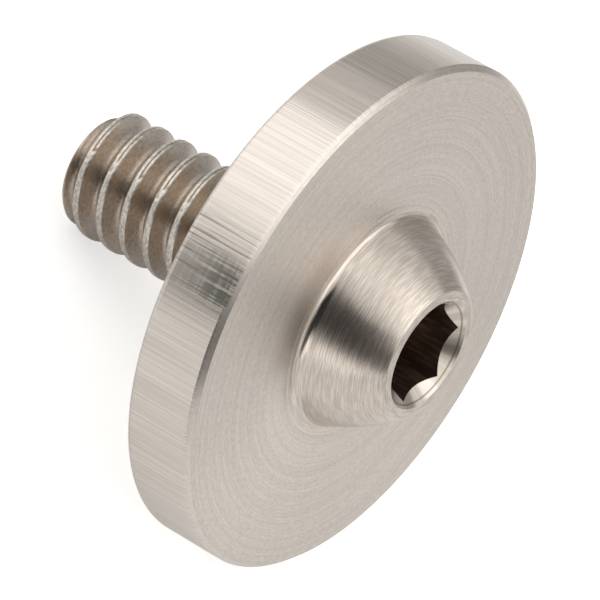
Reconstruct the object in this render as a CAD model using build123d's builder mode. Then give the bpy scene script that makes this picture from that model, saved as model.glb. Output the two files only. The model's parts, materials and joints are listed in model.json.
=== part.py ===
from build123d import *
import os
from math import atan2, cos, degrees, radians, sin, tan

# Flange head machine screw, No. 10-24 thread, 3/8 in long, hexagon socket.
# Built upright: Z is the screw's axis, Z = 0 the flange's bearing face, head up.
# The last block lays it on a bench as it would come to rest. Millimetres.

# flange
flange_dia = 19.05
flange_thick = 2.68
front_edge = 0.20
back_round = 0.20
back_steps = 4

# head
head_height = 2.62
head_base_dia = 7.92
head_top_dia = 4.79
side_lean = 18.0
base_fillet = 0.30
top_round = 0.16

# hexagon socket
socket_across_flats = 3.22
socket_depth = 3.10
socket_mouth_dia = 4.10
drill_point = 118.0
socket_turn = 40.1

# shank and thread
shank_length = 9.45
major_dia = 4.633
minor_dia = 3.56
neck_dia = 4.70
pitch = 25.4 / 24
crest_width = 0.23
flank_angle = 30.0
neck_length = 2.0
neck_fillet = 0.20
tip_dia = 3.76
thread_start = -10.20

# lying on the bench: the turn about the axis, and where the thread's tip touches
bench_roll = 58.85
touch_dia = 4.404
touch_from_tip = 0.322

flange_r = flange_dia / 2
major_r = major_dia / 2
minor_r = minor_dia / 2
neck_r = neck_dia / 2
tip_r = tip_dia / 2
flange_top = flange_thick
head_top = flange_thick + head_height
hex_corner_r = socket_across_flats / 2 / cos(radians(30))
mouth_r = socket_mouth_dia / 2

# the back edge is broken round in a few narrow cones, from the bearing face out to the rim
back_turns = [radians(90 * i / back_steps) for i in range(back_steps + 1)]
back_corners = [
    (flange_r - back_round * (1 - sin(turn)), back_round * (1 - cos(turn)))
    for turn in back_turns
]

with BuildPart() as screw:
    # flange and domed head, one turned profile
    with BuildSketch(Plane.XZ) as turned:
        with BuildLine() as outline:
            bottom = Line((0, 0), back_corners[0])
            back = Polyline(*back_corners)
            rim = Line(back @ 1, (flange_r, flange_top - front_edge))
            bevel = Line(rim @ 1, (flange_r - front_edge, flange_top))
            face = Line(bevel @ 1, (head_base_dia / 2, flange_top))
            lean = radians(90 + side_lean)
            side = TangentArc(face @ 1, (head_top_dia / 2, head_top), tangent=(cos(lean), sin(lean)))
            top = Line(side @ 1, (0, head_top))
            Line(top @ 1, (0, 0))
        make_face()
    revolve(axis=Axis.Z)

    # small fillet where the head meets the flange's front face, and a rounded top edge
    head_foot = [
        e
        for e in screw.edges().filter_by(GeomType.CIRCLE)
        if abs(e.center().Z - flange_top) < 1e-6 and e.radius < flange_r / 2
    ]
    fillet(head_foot, base_fillet)
    head_rim = screw.edges().filter_by(GeomType.CIRCLE).group_by(Axis.Z)[-1]
    fillet(head_rim, top_round)

    # shank core, plain neck at full diameter under the flange, run-out cone between them
    run_out = neck_r - minor_r
    overlap = 0.5
    with BuildSketch(Plane.XZ) as shank:
        with BuildLine():
            Polyline(
                (0, overlap),
                (neck_r, overlap),
                (neck_r, -neck_length),
                (minor_r, -neck_length - run_out),
                (minor_r, -shank_length),
                (0, -shank_length),
                close=True,
            )
        make_face()
    revolve(axis=Axis.Z)
    neck_root = [
        e
        for e in screw.edges().filter_by(GeomType.CIRCLE)
        if abs(e.center().Z) < 1e-6 and abs(e.radius - neck_r) < 1e-6
    ]
    fillet(neck_root, neck_fillet)

    # right-hand thread ridge, swept along its helix from the tip into the neck
    ridge_half = crest_width / 2
    sunk = 0.15
    foot_half = ridge_half + (major_r - minor_r + sunk) * tan(radians(flank_angle))
    ridge_length = -neck_length - thread_start
    with BuildLine() as crest_path:
        Helix(pitch, ridge_length, major_r, center=(0, 0, thread_start))
    with BuildSketch(Plane(origin=(major_r, 0, thread_start), x_dir=(1, 0, 0), z_dir=(0, -1, 0))) as ridge:
        with BuildLine():
            Polyline(
                (0, ridge_half),
                (0, -ridge_half),
                (minor_r - major_r - sunk, -foot_half),
                (minor_r - major_r - sunk, foot_half),
                close=True,
            )
        make_face()
    sweep(path=crest_path.wires()[0], is_frenet=True)

    # chamfered point: everything outside the cone and beyond the end plane goes
    spread = 2.0
    past_end = 3.0
    with BuildSketch(Plane.XZ) as point:
        with BuildLine():
            Polyline(
                (0, -shank_length),
                (tip_r, -shank_length),
                (tip_r + spread, -shank_length + spread),
                (tip_r + spread, -shank_length - past_end),
                (0, -shank_length - past_end),
                close=True,
            )
        make_face()
    revolve(axis=Axis.Z, mode=Mode.SUBTRACT)

    # hexagon socket with its drilled bottom and countersunk mouth
    with BuildSketch(Plane.XY.offset(head_top)) as hexagon:
        RegularPolygon(hex_corner_r, 6, rotation=socket_turn)
    extrude(amount=-socket_depth, mode=Mode.SUBTRACT)
    drill_r = socket_across_flats / 2
    drill_rise = drill_r / tan(radians(drill_point / 2))
    floor = head_top - socket_depth
    with BuildSketch(Plane.XZ) as bores:
        with BuildLine():
            Polyline((0, floor), (drill_r, floor), (0, floor - drill_rise), close=True)
        make_face()
        with BuildLine():
            Polyline((0, head_top), (mouth_r, head_top), (0, head_top - mouth_r), close=True)
        make_face()
    revolve(axis=Axis.Z, mode=Mode.SUBTRACT)

# laid down: the back edge's middle corner and the thread's end are on the bench
rest_r, rest_z = back_corners[back_steps // 2]
rise = atan2(rest_r - touch_dia / 2, rest_z + shank_length - touch_from_tip)
right = (flange_r - front_edge) * sin(rise) + flange_thick * cos(rise)
left = tip_r * sin(rise) + shank_length * cos(rise)
lift = rest_r * cos(rise) - rest_z * sin(rise)
lying = Pos((left - right) / 2, 0, lift) * Rot(0, 90 - degrees(rise), 0) * Rot(0, 0, bench_roll)
with BuildPart() as flange_screw:
    add(screw.part.moved(lying))
flange_screw.part.label = "flange_screw"

os.makedirs("parts", exist_ok=True)
export_step(flange_screw.part, "parts/flange_screw.step")
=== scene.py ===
import json
from functools import reduce
from math import atan2, cos, degrees, pi, radians, sin, sqrt, tan

import bmesh
import bpy
from mathutils import Matrix, Vector


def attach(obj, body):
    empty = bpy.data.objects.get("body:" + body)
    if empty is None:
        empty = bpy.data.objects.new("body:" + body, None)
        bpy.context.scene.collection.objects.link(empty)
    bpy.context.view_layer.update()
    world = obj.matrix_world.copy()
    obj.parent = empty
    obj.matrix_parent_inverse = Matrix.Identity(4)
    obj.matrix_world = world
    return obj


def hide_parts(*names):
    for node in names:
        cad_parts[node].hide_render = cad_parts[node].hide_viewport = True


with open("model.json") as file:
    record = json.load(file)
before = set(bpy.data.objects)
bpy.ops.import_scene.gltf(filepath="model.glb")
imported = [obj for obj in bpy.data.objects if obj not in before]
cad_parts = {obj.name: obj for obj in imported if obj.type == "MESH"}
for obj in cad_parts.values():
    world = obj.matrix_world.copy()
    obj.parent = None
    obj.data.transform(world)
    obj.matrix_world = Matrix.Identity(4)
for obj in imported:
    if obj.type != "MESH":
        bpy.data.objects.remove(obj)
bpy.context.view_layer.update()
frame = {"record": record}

# A flange head machine screw lying on a bench. The mesh is worked out upright in
# millimetres, as the part is (Z is the axis, Z = 0 the bearing face, head up), then
# laid down where the frame's bearing face lies. Turns are in degrees round the axis.

NODE = "flange_screw"
MM = 0.001

# flange
FLANGE_R = 9.525
FLANGE_THICK = 2.68
FRONT_EDGE = 0.20
BACK_ROUND = 0.20

# head
HEAD_HEIGHT = 2.62
HEAD_BASE_R = 3.96
HEAD_TOP_R = 2.395
SIDE_LEAN = 18.0
BASE_FILLET = 0.30
TOP_ROUND = 0.16
FACE_RING_R = 4.37
FACE_RING_HALF = 0.07
FACE_RING_DEPTH = 0.015
HEAD_TOP = FLANGE_THICK + HEAD_HEIGHT

# hexagon socket
ACROSS_FLATS = 3.22
SOCKET_DEPTH = 3.10
MOUTH_R = 2.05
DRILL_POINT = 118.0
SOCKET_TURN = 40.1
SOCKET_FLOOR = HEAD_TOP - SOCKET_DEPTH
DRILL_R = ACROSS_FLATS / 2
DRILL_SLOPE = tan(radians(DRILL_POINT / 2))

# shank and thread
SHANK_LENGTH = 9.45
MAJOR_R = 2.3165
MINOR_R = 1.78
NECK_R = 2.35
PITCH = 25.4 / 24
CREST_WIDTH = 0.23
FLANK_ANGLE = 30.0
NECK_LENGTH = 2.0
NECK_FILLET = 0.20
TIP_R = 1.88
THREAD_START = -10.20

# how the thread is softened: the flat share of the crest, the slope beside it, the root
CREST_FLAT = 0.6
CREST_FALL = 0.3
ROOT_SOFT = 0.14

# seam folded into the crest: its place, form and turns, and how it starts and ends
SEAM_OFF = 0.015
SEAM_HALF = 0.035
SEAM_DEPTH = 0.05
SEAM_ENDS = (60.0, 166.0)
SEAM_FADES = (8, 3)
SEAM_WANDER = 2

# nicks in the crest: turn, place across it, and how far turn and depth vary by lap
NICKS = (
    (163.0, 0.10, 1.5, 0.01),
    (172.5, -0.06, 0.5, -0.01),
)
NICK_HALF_TURN = 2.8
NICK_HALF_WIDTH = 0.07
NICK_DEPTH = 0.022
NICK_STEEP = 1.5
NICK_REACH = 1.4
LAP_WANDER = 2.4

# how the screw lies and how it is seen, from its own axes
BENCH_ROLL = 58.85
VIEW_TILT = 62.97
VIEW_TURN = 174.9
IMAGE_TURN = 29.70
DISTANCE = 193.745
AIM_RIGHT = 2.3213
AIM_DOWN = 0.7060
LENS = 342.495
SENSOR = 36
CLIP = (0.01, 50)

# mesh: columns round the axis, and the rows that shape each form or hold its edge
COLUMNS = 300
STEP = 360 / COLUMNS
SUPPORT = 0.03
NECK_ROWS, BACK_ROWS, FOOT_ROWS, SIDE_ROWS, TOP_ROWS = 5, 4, 8, 18, 6
BACK_RING = 6.0
FRONT_RINGS = (8.0, 6.5, 5.3)
MOUTH_SHARES = (0.25, 0.5, 0.75, 1.0)
WALL_SHARES = (0.02, 0.3, 0.65, 1.0)
FLOOR_SHARE = 0.99

# rows of the thread: millimetres ahead of the crest's middle and behind it, shares of its
# half width at its edge, shares of the flank, and millimetres past the flank's foot
AHEAD = (0, SEAM_OFF, 0.03, SEAM_OFF + SEAM_HALF, 0.07)
BEHIND = (0.02, 0.045, 0.07)
CREST_EDGE = (0.8, 1, 1.15)
FLANK_SHARES = (0.3, 0.6, 0.85)
ROOT_ROW = 0.05
SPARE_LAPS = 2

# clean-up of the mesh, and its material slots
WELD = 1e-5
TINY_EDGE = 1e-6
SHARP_ANGLE = 24
TURNED, THREAD, SOCKET = 0, 1, 2


# ---- where the screw lies ----

def lying():
    """The upright axes x, y, z and the bearing face's centre, in the row frame."""
    seat = next(m for m in frame["record"]["mounts"] if m["name"] == "bearing_face")
    z_axis = -Vector(seat["axis"]).normalized()
    side = Vector((0, 1, 0))
    downhill = side.cross(z_axis)
    spin = radians(BENCH_ROLL)
    x_axis = downhill * cos(spin) + side * sin(spin)
    y_axis = side * cos(spin) - downhill * sin(spin)
    x, _, z = seat["pos_m"]
    return x_axis, y_axis, z_axis, Vector((x, 0, z))


X_AXIS, Y_AXIS, Z_AXIS, SEAT = lying()


# ---- the screw's mesh ----

def arc(centre, radius, start, end, count):
    """Points (r, z) of the outline on an arc, from start to end in radians."""
    points = []
    for i in range(count + 1):
        t = start + (end - start) * i / count
        points.append((centre[0] + radius * cos(t), centre[1] + radius * sin(t)))
    return points


def flange_rows():
    """Neck, fillet, back face, rim, front face and the ring groove beside the head."""
    rim = FLANGE_R
    face = FLANGE_THICK
    outer = FACE_RING_R + FACE_RING_HALF
    inner = FACE_RING_R - FACE_RING_HALF
    rows = [(NECK_R, -NECK_LENGTH), (NECK_R, -NECK_LENGTH + SUPPORT)]
    rows += arc((NECK_R + NECK_FILLET, -NECK_FILLET), NECK_FILLET, pi, pi / 2, NECK_ROWS)
    rows += [(NECK_R + NECK_FILLET + SUPPORT, 0), (BACK_RING, 0)]
    rows += [(rim - BACK_ROUND - SUPPORT, 0)]
    rows += arc((rim - BACK_ROUND, BACK_ROUND), BACK_ROUND, -pi / 2, 0, BACK_ROWS)
    rows += [(rim, BACK_ROUND + SUPPORT), (rim, face / 2)]
    rows += [(rim, face - FRONT_EDGE - SUPPORT), (rim, face - FRONT_EDGE)]
    rows += [(rim - FRONT_EDGE, face), (rim - FRONT_EDGE - SUPPORT, face)]
    rows += [(r, face) for r in FRONT_RINGS]
    rows += [(outer + SUPPORT, face), (outer, face), (FACE_RING_R, face - FACE_RING_DEPTH)]
    rows += [(inner, face), (inner - SUPPORT, face)]
    return rows


def head_rows():
    """Foot fillet, the long arc of the side, the rounded top edge and the flat by the mouth."""
    lean = radians(SIDE_LEAN)
    across = HEAD_TOP_R - HEAD_BASE_R
    chord_squared = across ** 2 + HEAD_HEIGHT ** 2
    radius = -chord_squared / 2 / (across * cos(lean) + HEAD_HEIGHT * sin(lean))
    middle_r = HEAD_BASE_R - radius * cos(lean)
    middle_z = FLANGE_THICK - radius * sin(lean)
    foot_z = FLANGE_THICK + BASE_FILLET
    foot_r = middle_r + sqrt((radius + BASE_FILLET) ** 2 - (foot_z - middle_z) ** 2)
    foot_a = atan2(foot_z - middle_z, foot_r - middle_r)
    top_z = HEAD_TOP - TOP_ROUND
    top_r = middle_r + sqrt((radius - TOP_ROUND) ** 2 - (top_z - middle_z) ** 2)
    top_a = atan2(top_z - middle_z, top_r - middle_r)
    rows = arc((foot_r, foot_z), BASE_FILLET, -pi / 2, foot_a - pi, FOOT_ROWS)
    rows += arc((middle_r, middle_z), radius, foot_a, top_a, SIDE_ROWS)[1:]
    rows += arc((top_r, top_z), TOP_ROUND, top_a, pi / 2, TOP_ROWS)[1:]
    rows += [(top_r - SUPPORT, HEAD_TOP), (MOUTH_R + SUPPORT, HEAD_TOP), (MOUTH_R, HEAD_TOP)]
    return rows


def thread_radius(off, turn, wander):
    """Radius of the thread at a distance off from the crest's middle and a turn in degrees.
    wander, from -1 to 1, moves the marks on the crest a little from one lap to the next."""
    half = CREST_WIDTH / 2
    slope = tan(radians(FLANK_ANGLE))
    flank = MAJOR_R - max(0.0, abs(off) - half) / slope - MINOR_R
    r = MINOR_R + (flank + sqrt(flank ** 2 + ROOT_SOFT ** 2)) / 2
    r = min(r, MAJOR_R - CREST_FALL * max(0.0, abs(off) - half * CREST_FLAT))
    if abs(off) < half:
        started = (turn - SEAM_ENDS[0]) / SEAM_FADES[0]
        ending = (SEAM_ENDS[1] + SEAM_WANDER * wander - turn) / SEAM_FADES[1]
        share = max(0.0, min(1.0, started, ending))
        r -= SEAM_DEPTH * share * max(0.0, 1 - abs(off - SEAM_OFF) / SEAM_HALF)
    for middle, across, shift, vary in NICKS:
        near = 1 - abs(turn - middle - wander * shift) / NICK_HALF_TURN
        if near > 0 and abs(off) < half * NICK_REACH:
            depth = (NICK_DEPTH + vary * wander) * min(1.0, near * NICK_STEEP)
            r -= depth * max(0.0, 1 - abs(off - across) / NICK_HALF_WIDTH)
    return r


def thread_marks():
    """Steps along one pitch, closer together on the crest and at its edges."""
    half = CREST_WIDTH / 2
    foot = half + (MAJOR_R - MINOR_R) * tan(radians(FLANK_ANGLE))
    flank = [half * t for t in CREST_EDGE] + [half + (foot - half) * t for t in FLANK_SHARES]
    flank += [foot, foot + ROOT_ROW]
    back = [PITCH - m for m in reversed([*BEHIND, *flank])]
    return [*AHEAD, *flank, PITCH / 2, *back]


def thread_point(turn, along):
    """(r, z) on the threaded shank, cut off by the end, its chamfer and the plain neck.
    turn is in whole turns, along in millimetres from the thread's start."""
    end, top = -SHANK_LENGTH, -NECK_LENGTH
    off = along % PITCH
    z = THREAD_START + PITCH * turn + along
    if z >= top:
        return NECK_R, top
    if z <= end:
        return TIP_R, end
    nearer_next = off > PITCH / 2
    lap = along // PITCH + nearer_next
    r = thread_radius(off - PITCH * nearer_next, turn * 360, sin(LAP_WANDER * lap))
    r = max(r, NECK_R - (top - z))
    return min(r, TIP_R + z - end), z


def ring(mesh, turns, points):
    """One vertex for each turn, at its own (r, z)."""
    return [mesh.verts.new((r * cos(a), r * sin(a), z)) for a, (r, z) in zip(turns, points)]


def even_ring(mesh, turns, r, z):
    """A ring at one radius and height."""
    return ring(mesh, turns, [(r, z)] * COLUMNS)


def thread_grid(mesh, turns):
    """Rows that climb with the thread, and how many of them make one lap."""
    marks = thread_marks()
    first = int((-SHANK_LENGTH - THREAD_START) / PITCH) - SPARE_LAPS
    last = int((-NECK_LENGTH - THREAD_START) / PITCH) + SPARE_LAPS
    grid = []
    for lap in range(first, last):
        for mark in marks:
            along = lap * PITCH + mark
            grid.append(ring(mesh, turns, [thread_point(a / (2 * pi), along) for a in turns]))
    return grid, len(marks)


def socket_rings(mesh, turns):
    """The countersink's scallops, the six walls, the floor and the drilled point."""
    walls = [DRILL_R / cos((a - radians(SOCKET_TURN)) % (pi / 3) - pi / 6) for a in turns]
    cone = HEAD_TOP - MOUTH_R
    rings = []
    for share in MOUTH_SHARES:
        radii = [MOUTH_R + (wall - MOUTH_R) * share for wall in walls]
        rings.append((ring(mesh, turns, [(r, cone + r) for r in radii]), TURNED))
    for share in WALL_SHARES:
        points = [(r, cone + r + (SOCKET_FLOOR - cone - r) * share) for r in walls]
        rings.append((ring(mesh, turns, points), SOCKET))
    halfway = SOCKET_FLOOR - DRILL_R / 2 / DRILL_SLOPE
    rings.append((even_ring(mesh, turns, DRILL_R * FLOOR_SHARE, SOCKET_FLOOR), SOCKET))
    rings.append((even_ring(mesh, turns, DRILL_R / 2, halfway), SOCKET))
    return rings


def facet(mesh, slot, *corners):
    mesh.faces.new(corners).material_index = slot


def strip(mesh, slot, low, high):
    """Faces between two rows of the thread, open where the lap ends."""
    for i in range(COLUMNS - 1):
        facet(mesh, slot, low[i], low[i + 1], high[i + 1], high[i])


def screw_mesh():
    """The whole screw as one closed mesh, laid down in the row frame."""
    mesh = bmesh.new()
    turns = [radians(SOCKET_TURN % STEP + STEP * i) for i in range(COLUMNS)]
    grid, lap = thread_grid(mesh, turns)
    for low, high, low_next, high_next in zip(grid, grid[1:], grid[lap:], grid[lap + 1:]):
        strip(mesh, THREAD, low, high)
        facet(mesh, THREAD, low[-1], low_next[0], high_next[0], high[-1])
    for low, high in zip(grid[-lap - 1:], grid[-lap:]):
        strip(mesh, THREAD, low, high)
    tip = mesh.verts.new((0, 0, -SHANK_LENGTH))
    tip_ring = even_ring(mesh, turns, TIP_R, -SHANK_LENGTH)
    bottom = mesh.verts.new((0, 0, SOCKET_FLOOR - DRILL_R / DRILL_SLOPE))
    rings = [(even_ring(mesh, turns, r, z), TURNED) for r, z in flange_rows() + head_rows()]
    rings += socket_rings(mesh, turns)
    for i in range(COLUMNS):
        n = (i + 1) % COLUMNS
        facet(mesh, THREAD, tip, tip_ring[n], tip_ring[i])
        facet(mesh, SOCKET, rings[-1][0][i], rings[-1][0][n], bottom)
        for (low, _), (high, slot) in zip(rings, rings[1:]):
            facet(mesh, slot, low[i], low[n], high[n], high[i])
    bmesh.ops.remove_doubles(mesh, verts=mesh.verts[:], dist=WELD)
    bmesh.ops.dissolve_degenerate(mesh, dist=TINY_EDGE, edges=mesh.edges[:])
    lay = Matrix((X_AXIS, Y_AXIS, Z_AXIS)).transposed().to_4x4()
    mesh.transform(Matrix.Translation(SEAT) @ lay @ Matrix.Scale(MM, 4))
    data = bpy.data.meshes.new("screw")
    mesh.to_mesh(data)
    mesh.free()
    data.shade_smooth()
    data.set_sharp_from_angle(angle=radians(SHARP_ANGLE))
    piece = bpy.data.objects.new("screw", data)
    bpy.context.scene.collection.objects.link(piece)
    return piece


# ---- node trees ----

class Nodes:
    """Short calls that add and join the nodes of one tree."""

    def __init__(self, tree):
        self.tree = tree
        tree.nodes.clear()

    def add(self, kind, inputs=(), **values):
        node = self.tree.nodes.new("ShaderNode" + kind)
        for key, value in values.items():
            setattr(node, key, value)
        for name, value in dict(inputs).items():
            self.put(value, node.inputs[name])
        return node

    def put(self, value, socket):
        if isinstance(value, bpy.types.NodeSocket):
            self.tree.links.new(value, socket)
        else:
            socket.default_value = value

    def math(self, op, *values):
        node = self.add("Math", operation=op)
        for socket, value in zip(node.inputs, values):
            self.put(value, socket)
        return node.outputs[0]

    def total(self, *values):
        return reduce(lambda a, b: self.math("ADD", a, b), values)

    def product(self, *values):
        return reduce(lambda a, b: self.math("MULTIPLY", a, b), values)

    def less(self, whole, part):
        return self.math("SUBTRACT", whole, part)

    def vector(self, op, *values):
        node = self.add("VectorMath", operation=op)
        for socket, value in zip(node.inputs, values):
            self.put(value, socket)
        return node.outputs["Value" if op == "DOT_PRODUCT" else "Vector"]

    def ramp(self, value, low, high, out_low=0.0, out_high=1.0):
        """Smooth step from out_low to out_high as value goes from low to high."""
        node = self.add("MapRange", {0: value, 1: low, 2: high, 3: out_low, 4: out_high})
        node.interpolation_type = "SMOOTHSTEP"
        return node.outputs[0]

    def mix(self, share, low, high):
        return self.add("Mix", {0: share, 6: low, 7: high}, data_type="RGBA").outputs[2]


class Upright:
    """The surface point in the screw's own axes, in millimetres, and the way round them."""

    def __init__(self, n):
        self.n = n
        place = n.add("TexCoord").outputs["Object"]
        arm = n.vector("SUBTRACT", place, SEAT)
        x = n.math("DIVIDE", n.vector("DOT_PRODUCT", arm, X_AXIS), MM)
        y = n.math("DIVIDE", n.vector("DOT_PRODUCT", arm, Y_AXIS), MM)
        self.z = n.math("DIVIDE", n.vector("DOT_PRODUCT", arm, Z_AXIS), MM)
        self.r = n.math("SQRT", n.total(n.product(x, x), n.product(y, y)))
        self.along = n.less(self.z, self.r)
        self.round = n.vector("CROSS_PRODUCT", Z_AXIS, arm)
        self.cos = n.math("DIVIDE", x, self.r)
        self.sin = n.math("DIVIDE", y, self.r)

    def noise(self, turn, along, detail):
        """Noise by how fast it changes with the turn and, per millimetre, along the outline."""
        n = self.n
        node = n.add("CombineXYZ")
        n.put(n.product(self.cos, turn), node.inputs[0])
        n.put(n.product(self.sin, turn), node.inputs[1])
        n.put(n.product(self.along, along), node.inputs[2])
        inputs = {"Vector": node.outputs[0], "Scale": 1.0, "Detail": detail}
        return n.add("TexNoise", inputs).outputs[0]

    def toward(self, turn):
        """1 at one turn, falling off to both sides as the cosine."""
        n = self.n
        turn = radians(turn)
        return n.total(n.product(self.cos, cos(turn)), n.product(self.sin, sin(turn)))


def within(half_turn):
    """What toward gives this many degrees from its turn."""
    return cos(radians(half_turn))


def new_material(name):
    mat = bpy.data.materials.new(name)
    mat.use_nodes = True
    n = Nodes(mat.node_tree)
    out = n.add("OutputMaterial")
    return mat, n, out


def metal(n, out, up, colour, roughness, anisotropy, bump=None):
    """A metal surface whose polish runs round the axis."""
    bsdf = n.add("BsdfPrincipled", {"Base Color": colour, "Roughness": roughness})
    bsdf.inputs["Metallic"].default_value = 1.0
    bsdf.inputs["Anisotropic"].default_value = anisotropy
    bsdf.inputs["Anisotropic Rotation"].default_value = 0.25
    n.put(up.round, bsdf.inputs["Tangent"])
    if bump is not None:
        n.put(bump, bsdf.inputs["Normal"])
    n.put(bsdf.outputs[0], out.inputs[0])


def relief(n, height, distance):
    """Bump of this depth in metres."""
    bump = n.add("Bump", {"Height": height})
    bump.inputs["Distance"].default_value = distance
    bump.inputs["Strength"].default_value = 1.0
    return bump.outputs[0]


# ---- turned steel: flange, head and neck ----

# where the rim and the head begin, by radius and height
RIM_EDGE = (9.40, 9.50)
HEAD_EDGE = (4.25, 4.15)
HEAD_START = (FLANGE_THICK - 0.1, FLANGE_THICK - 0.05)

# lathe lines as noise (turn, along, detail), the part each plays and their two colours
RINGS, RING_SHARE = (0.6, 15.0, 2), 0.45
GRAIN, GRAIN_SHARE = (45.0, 14.0, 2), 0.55
STREAKS, STREAK_SHARE, STREAK_BASE = (110.0, 0.16, 2), 0.6, 0.2
BRUSH, BRUSH_RANGE = (4.5, 24.0, 4), (0.27, 0.73)
LINE_RANGE = (0.28, 0.72)
STEEL_LOW = (0.56, 0.51, 0.465, 1)
STEEL_HIGH = (0.72, 0.66, 0.605, 1)
HEAD_TINT_RANGE = (0.38, 0.62, 0.48, 0.18)
HEAD_TINT = (0.50, 0.42, 0.345, 1)

# dark scratches along the rim, most of them on one side: scratch texture, darkened there as
# painted dark reflection
SCRATCH_REFLECTION, SCRATCH_REFLECTION_RANGE = (120.0, 0.25, 2), (0.54, 0.66)
SCRATCH_REFLECTION_TURN = 179.0
SCRATCH_REFLECTION_NEAR = (within(10), within(2), 0.06, 0.75)
SCRATCH_REFLECTION_COLOUR = (0.20, 0.18, 0.15, 1)

# painted dark reflection on the rim, heaviest by the front edge, and painted shade on the face
# beside the head
DARK_REFLECTION_TURN = 183.0
DARK_REFLECTION_NEAR = (within(7), within(2.5))
DARK_REFLECTION_FRONT = (0.2, FLANGE_THICK - 0.3, 0.3, 1.0)
DARK_REFLECTION_FINE = (40.0, 0.4, 2)
DARK_REFLECTION_BROAD, BROAD_SHARE = (4.0, 6.0, 2), 0.5
DARK_REFLECTION_RANGE = (1.10, 1.38)
DARK_REFLECTION_SHARE = 0.9
DARK_REFLECTION_COLOUR = (0.17, 0.18, 0.155, 1)
HEAD_SHADE_EDGE = (4.5, 6.0, 0.55, 0)
HEAD_SHADE_NEAR = (0.82, 0.99)
HEAD_SHADE_COLOUR = (0.30, 0.255, 0.22, 1)

# dark line in the socket's countersink
MOUTH_LINE_R = 1.94
MOUTH_LINE = (0.012, 0.035, 0.65, 0.0)
MOUTH_START = (HEAD_TOP - 0.3, HEAD_TOP - 0.25)
MOUTH_COLOUR = (0.16, 0.14, 0.125, 1)

# relief of the lines on each form, and the polish
FACE_RELIEF, HEAD_RELIEF, RIM_RELIEF = 0.22, 0.7, 1.3
TURNED_RELIEF = 0.000004
TURNED_ROUGHNESS = 0.31
SMOOTHER = 0.05
FOOT_SMOOTHER = (FLANGE_THICK + 0.25, FLANGE_THICK + 0.32, 0.12, 0)
TURNED_ANISOTROPY = 0.8


def smear(n, up, rim, streaks):
    """How dark the painted dark reflection on the rim is, streaked like the rim and patchy."""
    near = n.ramp(up.toward(DARK_REFLECTION_TURN), *DARK_REFLECTION_NEAR)
    front = n.ramp(up.z, *DARK_REFLECTION_FRONT)
    broad = n.product(up.noise(*DARK_REFLECTION_BROAD), BROAD_SHARE)
    patchy = n.ramp(n.total(streaks, up.noise(*DARK_REFLECTION_FINE), broad), *DARK_REFLECTION_RANGE)
    return n.product(near, front, patchy, rim, DARK_REFLECTION_SHARE)


def turned_steel():
    """Lathe-turned stainless steel: fine rings on the faces, scratches round the head and
    lines along the rim."""
    mat, n, out = new_material("turned_steel")
    up = Upright(n)
    rim = n.ramp(up.r, *RIM_EDGE)
    head = n.product(n.ramp(up.r, *HEAD_EDGE), n.ramp(up.z, *HEAD_START))
    face = n.less(1, n.math("MAXIMUM", head, rim))
    rings = up.noise(*RINGS)
    grain = up.noise(*GRAIN)
    brush = up.noise(*BRUSH)
    streaks = up.noise(*STREAKS)

    on_face = n.total(n.product(rings, RING_SHARE), n.product(grain, GRAIN_SHARE))
    on_rim = n.total(n.product(streaks, STREAK_SHARE), STREAK_BASE)
    on_head = n.ramp(brush, *BRUSH_RANGE)
    lines = n.total(n.product(on_face, face), n.product(on_rim, rim), n.product(on_head, head))
    colour = n.mix(n.ramp(lines, *LINE_RANGE), STEEL_LOW, STEEL_HIGH)
    tint = n.product(head, n.ramp(brush, *HEAD_TINT_RANGE))
    colour = n.mix(tint, colour, HEAD_TINT)

    # dark rim scratches gathered on one side: partly scratches, partly painted dark reflection
    scratch_reflection = n.ramp(up.noise(*SCRATCH_REFLECTION), *SCRATCH_REFLECTION_RANGE)
    scratch_reflection = n.product(scratch_reflection, n.ramp(up.toward(SCRATCH_REFLECTION_TURN), *SCRATCH_REFLECTION_NEAR), rim)
    colour = n.mix(scratch_reflection, colour, SCRATCH_REFLECTION_COLOUR)
    # painted shade on the face beside the head, on the side of the rim's painted dark
    # reflection
    head_shade = n.ramp(up.r, *HEAD_SHADE_EDGE)
    head_shade = n.product(head_shade, n.ramp(up.toward(DARK_REFLECTION_TURN), *HEAD_SHADE_NEAR), face)
    colour = n.mix(head_shade, colour, HEAD_SHADE_COLOUR)
    mouth = n.ramp(n.math("ABSOLUTE", n.less(up.r, MOUTH_LINE_R)), *MOUTH_LINE)
    mouth = n.product(mouth, n.ramp(up.z, *MOUTH_START))
    colour = n.mix(mouth, colour, MOUTH_COLOUR)
    # painted dark reflection on the rim, heaviest by the front edge
    colour = n.mix(smear(n, up, rim, streaks), colour, DARK_REFLECTION_COLOUR)

    height = n.total(
        n.product(rings, face, FACE_RELIEF),
        n.product(brush, head, HEAD_RELIEF),
        n.product(streaks, rim, RIM_RELIEF),
    )
    foot = n.product(head, n.ramp(up.z, *FOOT_SMOOTHER))
    smoother = n.total(foot, n.product(n.total(rim, head), SMOOTHER))
    roughness = n.less(TURNED_ROUGHNESS, smoother)
    bump = relief(n, height, TURNED_RELIEF)
    metal(n, out, up, colour, roughness, TURNED_ANISOTROPY, bump)
    return mat


# ---- rolled thread ----

THREAD_GRAIN = (16.0, 10.0, 4)
SHANK_START = (-SHANK_LENGTH + 0.01, -SHANK_LENGTH + 0.1)
# painted shade: the flanks and root are a darker brown than the flange's steel, for the
# flange's shade and the reflections between the flanks
SHADED_BROWN_RANGE = (0.35, 0.65)
SHADED_BROWN_LOW = (0.41, 0.345, 0.285, 1)
SHADED_BROWN_HIGH = (0.54, 0.46, 0.385, 1)

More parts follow.
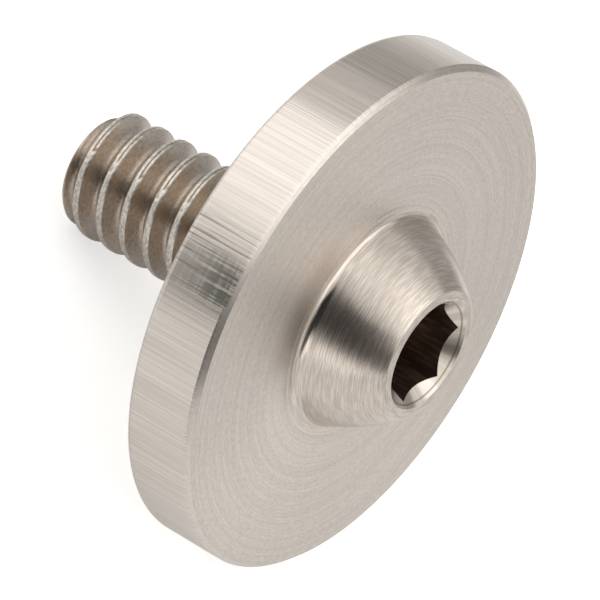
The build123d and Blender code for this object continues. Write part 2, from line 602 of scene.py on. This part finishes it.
# painted shade: a dark line along the shank on the side of the rim's painted dark reflection,
# and paler grey a quarter turn away from it
SHADE_LINE_ASIDE = 0.02
SHADE_LINE_EDGE = (0.06, 0.24, 0.45, 0)
SHADE_LINE_SIDE = (0, 0.5)
SHADE_LINE_COLOUR = (0.26, 0.20, 0.155, 1)
PALE_SIDE_EDGE = (0.62, 0.95)
PALE_SIDE_RANGE = (0.35, 0.6, 0.35, 1.0)
PALE_SIDE_SHARE = 0.6
PALE_SIDE_COLOUR = (0.56, 0.53, 0.50, 1)

# crests in the steel's own colour, and the polish
CREST_START = (2.288, 2.312)
CREST_RANGE = (0.40, 0.62)
CREST_LOW = (0.50, 0.465, 0.42, 1)
CREST_HIGH = (0.72, 0.69, 0.64, 1)
THREAD_ROUGHNESS = (0.3, 0.7, 0.30, 0.44)
THREAD_ANISOTROPY = 0.4
THREAD_RELIEF = 0.000008


def thread_steel():
    """Rolled thread, dull, with painted shade: flanks and root a darker brown than the steel,
    and a darker line along the shank on one side.
    The crests keep the steel's own colour, and a quarter turn either side of the line the
    thread is paler grey."""
    mat, n, out = new_material("thread_steel")
    up = Upright(n)
    aside = up.toward(DARK_REFLECTION_TURN + 90)
    grain = up.noise(*THREAD_GRAIN)
    shank = n.ramp(up.z, *SHANK_START)
    # paler grey a quarter turn either side of the dark line, patchy with the grain
    pale_side = n.ramp(n.math("ABSOLUTE", aside), *PALE_SIDE_EDGE)
    pale_side = n.product(pale_side, n.ramp(grain, *PALE_SIDE_RANGE), shank, PALE_SIDE_SHARE)
    # painted shade: a dark line along the shank
    shade_line = n.ramp(n.math("ABSOLUTE", n.total(aside, SHADE_LINE_ASIDE)), *SHADE_LINE_EDGE)
    shade_line = n.product(shade_line, shank, n.ramp(up.toward(DARK_REFLECTION_TURN), *SHADE_LINE_SIDE))
    # painted shade on the flanks and root
    shaded_brown = n.mix(n.ramp(grain, *SHADED_BROWN_RANGE), SHADED_BROWN_LOW, SHADED_BROWN_HIGH)
    shaded_brown = n.mix(shade_line, shaded_brown, SHADE_LINE_COLOUR)
    shaded_brown = n.mix(pale_side, shaded_brown, PALE_SIDE_COLOUR)
    crest = n.mix(n.ramp(grain, *CREST_RANGE), CREST_LOW, CREST_HIGH)
    colour = n.mix(n.ramp(up.r, *CREST_START), shaded_brown, crest)
    roughness = n.ramp(grain, *THREAD_ROUGHNESS)
    bump = relief(n, grain, THREAD_RELIEF)
    metal(n, out, up, colour, roughness, THREAD_ANISOTROPY, bump)
    return mat


# ---- socket ----

SOCKET_STREAKS, SOCKET_RANGE = (9.0, 0.8, 3), (0.4, 0.7)
SOCKET_LOW = (0.17, 0.12, 0.095, 1)
SOCKET_HIGH = (0.42, 0.30, 0.24, 1)
SOCKET_ROUGHNESS = 0.42


def socket_steel():
    """Brown unpolished walls and floor of the socket."""
    mat, n, out = new_material("socket_steel")
    up = Upright(n)
    streaks = n.ramp(up.noise(*SOCKET_STREAKS), *SOCKET_RANGE)
    colour = n.mix(streaks, SOCKET_LOW, SOCKET_HIGH)
    metal(n, out, up, colour, SOCKET_ROUGHNESS, 0.0)
    return mat


# ---- surroundings ----

# an even sky that brightens overhead, in degrees of height, and the panels on it:
# compass centre, half width, softness, low, high, softness, level
SKY_COLOUR = (1.0, 0.99, 0.97, 1)
SKY_LEVEL = (54, 68, 0.79, 1.10)
PANELS = (
    (105, 38, 8, -5, 36, 6, 0.45),
    (195.5, 27.5, 6, -10, 60, 7, 1.50),
    (-58, 18, 6, -18, 5, 4, 1.40),
    (-80, 40, 8, 8, 50, 5, 0.04),
    (-34, 16, 7, 6, 33, 5, 0.12),
    (18, 54, 9, 41, 84, 6, 1.75),
    (-113, 10, 5, -14, 12, 4, 0.26),
)

# the bench, and its glow to the camera and to the metal
BENCH_RADIUS = 0.065
BENCH_CORNERS = 128
BENCH_WHITE = (0.88, 0.88, 0.88, 1)
CAMERA_GLOW = 0.58
MIRROR_GLOW = 0.12


def studio():
    """A soft studio as one sky, white to the camera."""
    world = bpy.data.worlds.new("studio")
    world.use_nodes = True
    bpy.context.scene.world = world
    n = Nodes(world.node_tree)
    out = n.add("OutputWorld")
    place = n.add("TexCoord").outputs["Generated"]
    x, y, z = n.add("SeparateXYZ", {0: place}).outputs
    height = n.product(n.math("ARCSINE", z), degrees(1))
    compass = n.product(n.math("ARCTAN2", y, x), degrees(1))

    def panel(centre, half, soft, low, high, soft_up):
        away = n.math("ABSOLUTE", n.math("WRAP", n.less(compass, centre), 180, -180))
        across = n.ramp(away, half - soft, half + soft, 1, 0)
        rise = n.ramp(height, low - soft_up, low + soft_up)
        fall = n.ramp(height, high - soft_up, high + soft_up, 1, 0)
        return n.product(across, rise, fall)

    level = n.ramp(height, *SKY_LEVEL)
    for *shape, value in PANELS:
        share = panel(*shape)
        level = n.total(n.product(level, n.less(1, share)), n.product(share, value))
    sky = n.add("Background", {"Strength": level, "Color": SKY_COLOUR})
    white = n.add("Background", {"Strength": 1.0, "Color": (1, 1, 1, 1)})
    seen = n.add("LightPath").outputs["Is Camera Ray"]
    both = n.add("MixShader", {0: seen, 1: sky.outputs[0], 2: white.outputs[0]})
    n.put(both.outputs[0], out.inputs[0])


def bench():
    """White bench top that the camera and, less so, the metal see brighter than it is lit."""
    bpy.ops.mesh.primitive_circle_add(
        vertices=BENCH_CORNERS, radius=BENCH_RADIUS, fill_type="NGON")
    floor = bpy.context.object
    floor.name = "floor"
    mat, n, out = new_material("bench_white")
    rays = n.add("LightPath").outputs
    mirrored = n.math("MAXIMUM", rays["Is Glossy Ray"], rays["Is Transmission Ray"])
    to_camera = n.product(rays["Is Camera Ray"], CAMERA_GLOW)
    glow = n.math("MAXIMUM", to_camera, n.product(mirrored, MIRROR_GLOW))
    light = n.add("Emission", {"Strength": glow})
    paint = n.add("BsdfDiffuse", {"Color": BENCH_WHITE})
    both = n.add("AddShader", {0: paint.outputs[0], 1: light.outputs[0]})
    n.put(both.outputs[0], out.inputs[0])
    floor.data.materials.append(mat)


def camera():
    """The camera, placed from the screw's own axes and aimed by the flange's front face."""
    tilt, turn = radians(VIEW_TILT), radians(IMAGE_TURN)
    spin = radians(VIEW_TURN)
    near = X_AXIS * cos(spin) + Y_AXIS * sin(spin)
    side = Y_AXIS * cos(spin) - X_AXIS * sin(spin)
    right = -near * cos(turn) * cos(tilt) - side * sin(turn) + Z_AXIS * sin(tilt) * cos(turn)
    down = -near * sin(turn) * cos(tilt) + side * cos(turn) + Z_AXIS * sin(tilt) * sin(turn)
    forward = -near * sin(tilt) - Z_AXIS * cos(tilt)
    aim = SEAT + Z_AXIS * FLANGE_THICK * MM
    place = aim - (right * AIM_RIGHT + down * AIM_DOWN + forward * DISTANCE) * MM
    lens = bpy.data.cameras.new("camera")
    lens.lens = LENS
    lens.sensor_width = SENSOR
    lens.clip_start, lens.clip_end = CLIP
    eye = bpy.data.objects.new("camera", lens)
    bpy.context.scene.collection.objects.link(eye)
    facing = Matrix((right, -down, -forward)).transposed().to_4x4()
    eye.matrix_world = Matrix.Translation(place) @ facing
    bpy.context.scene.camera = eye


screw = screw_mesh()
for material in (turned_steel(), thread_steel(), socket_steel()):
    screw.data.materials.append(material)
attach(screw, "root")
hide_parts(NODE)
studio()
bench()
camera()
bpy.context.scene.view_settings.view_transform = "Standard"
